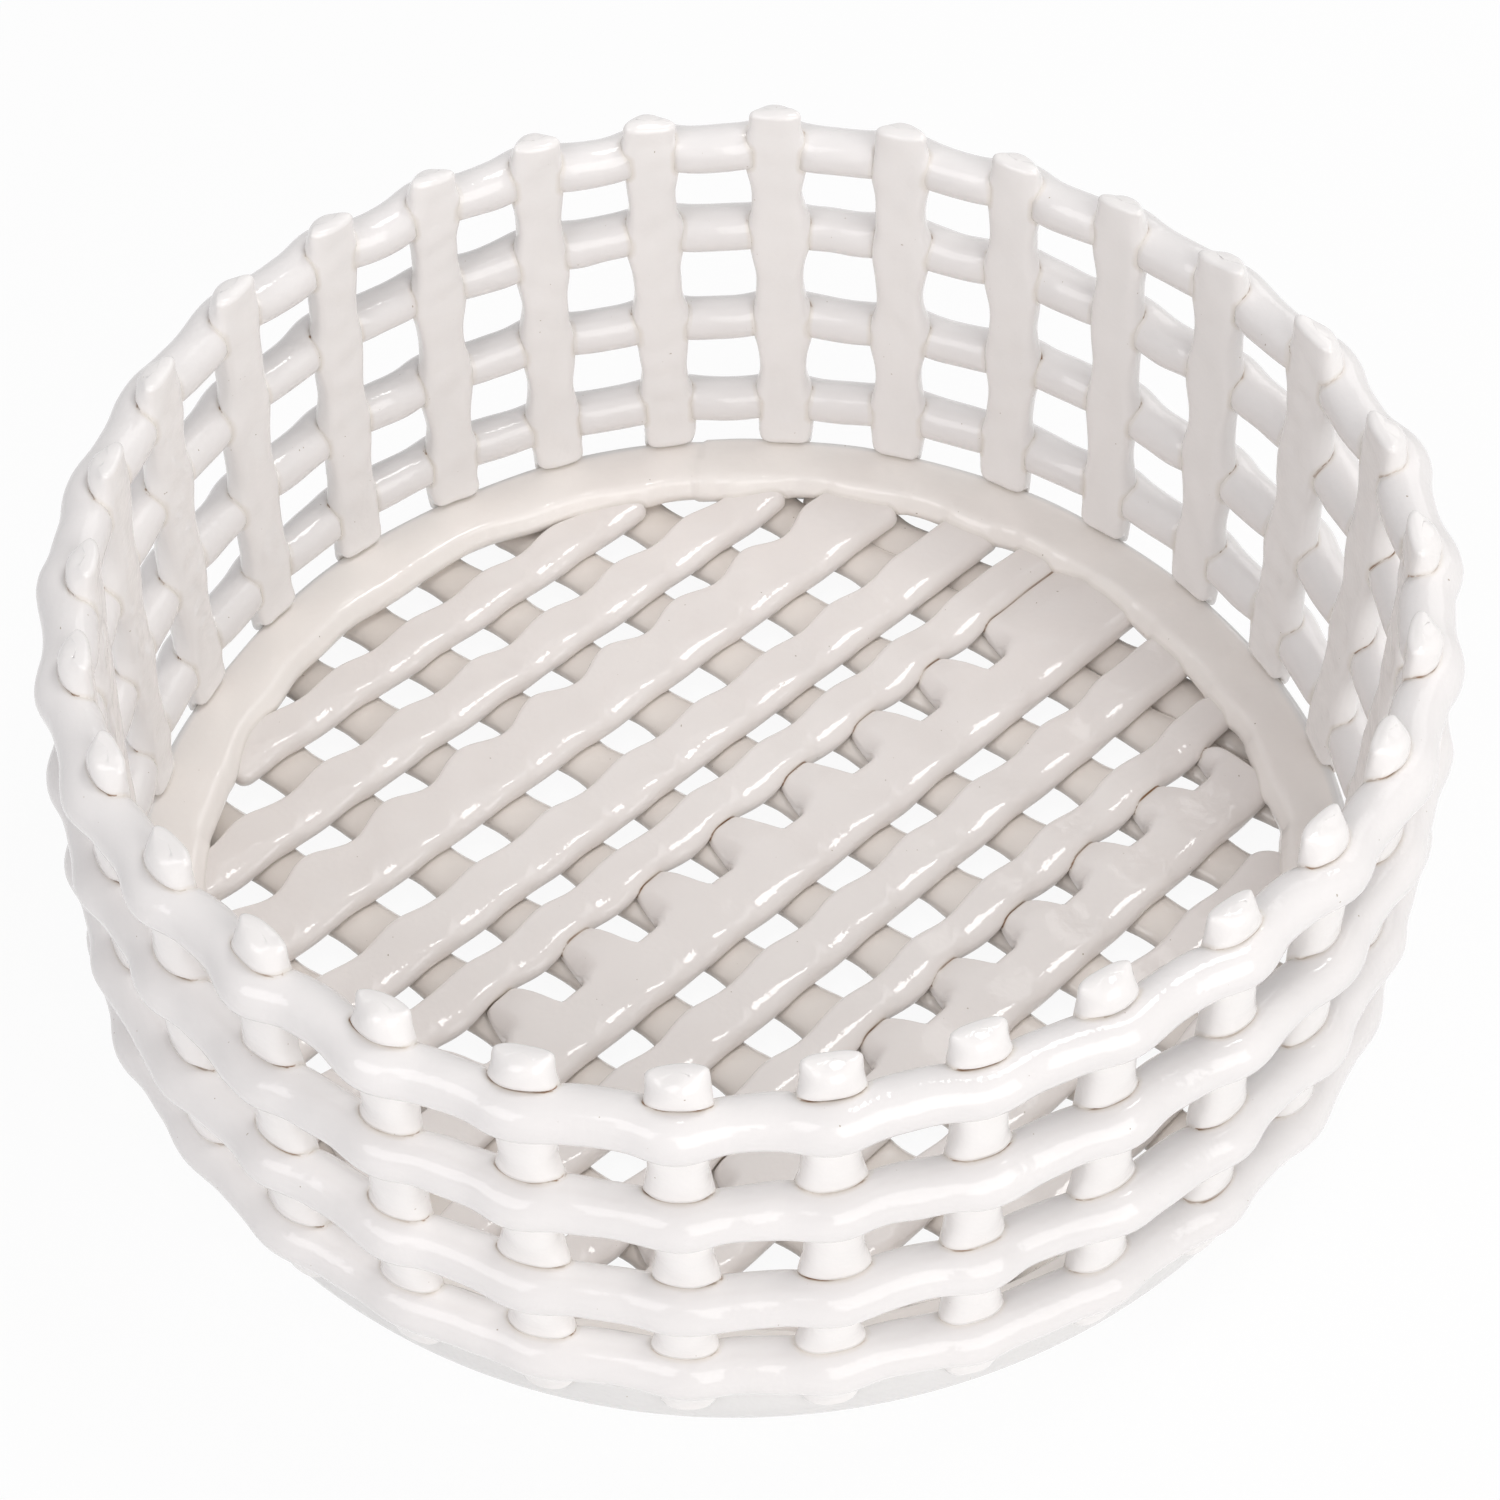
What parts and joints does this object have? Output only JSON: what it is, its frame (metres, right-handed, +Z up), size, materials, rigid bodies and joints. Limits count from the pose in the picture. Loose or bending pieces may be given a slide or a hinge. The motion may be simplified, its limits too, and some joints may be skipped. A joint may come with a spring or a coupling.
{
  "type": "ceramic lattice basket",
  "caption": "Round open basket in white glazed ceramic: upright staves, wavy rings round them, and a flat floor of crossed strips for bread, fruit or small things.",
  "frame": {"origin": "middle of the face that the basket stands on, at table height", "axes": "+Z up along the middle of the basket; +X to the right and +Y to the back as the basket is seen; the floor strips run about 45 degrees between +X and +Y"},
  "size_m": [0.2938, 0.2934, 0.12],
  "materials": {
    "base_glaze": "glossy white transparent-over-white glaze, warmer where it pools in the joints",
    "coil_glaze": "glossy white glaze, thinner and beige",
    "strip_glaze": "glossy white transparent-over-white glaze, warmer where it pools in the joints",
    "stave_glaze": "glossy white transparent-over-white glaze, warmer where it pools in the joints",
    "ring_glaze": "glossy white transparent-over-white glaze, warmer where it pools in the joints"
  },
  "bodies": {
    "root": {"base_ring": "base_glaze", "floor_coil_01": "coil_glaze", "floor_coil_02": "coil_glaze", "floor_coil_03": "coil_glaze", "floor_coil_04": "coil_glaze", "floor_coil_05": "coil_glaze", "floor_coil_06": "coil_glaze", "floor_coil_07": "coil_glaze", "floor_coil_08": "coil_glaze", "floor_coil_09": "coil_glaze", "floor_coil_10": "coil_glaze", "floor_strip_01": "strip_glaze", "floor_strip_02": "strip_glaze", "floor_strip_03": "strip_glaze", "floor_strip_04": "strip_glaze", "floor_strip_05": "strip_glaze", "floor_strip_06": "strip_glaze", "floor_strip_07": "strip_glaze", "floor_strip_08": "strip_glaze", "floor_strip_09": "strip_glaze", "floor_strip_10": "strip_glaze", "floor_strip_11": "strip_glaze", "stave_01": "stave_glaze", "stave_02": "stave_glaze", "stave_03": "stave_glaze", "stave_04": "stave_glaze", "stave_05": "stave_glaze", "stave_06": "stave_glaze", "stave_07": "stave_glaze", "stave_08": "stave_glaze", "stave_09": "stave_glaze", "stave_10": "stave_glaze", "stave_11": "stave_glaze", "stave_12": "stave_glaze", "stave_13": "stave_glaze", "stave_14": "stave_glaze", "stave_15": "stave_glaze", "stave_16": "stave_glaze", "stave_17": "stave_glaze", "stave_18": "stave_glaze", "stave_19": "stave_glaze", "stave_20": "stave_glaze", "stave_21": "stave_glaze", "stave_22": "stave_glaze", "stave_23": "stave_glaze", "stave_24": "stave_glaze", "stave_25": "stave_glaze", "stave_26": "stave_glaze", "stave_27": "stave_glaze", "stave_28": "stave_glaze", "stave_29": "stave_glaze", "stave_30": "stave_glaze", "wall_ring_1": "ring_glaze", "wall_ring_2": "ring_glaze", "wall_ring_3": "ring_glaze", "wall_ring_4": "ring_glaze"}
  },
  "joints": []
}
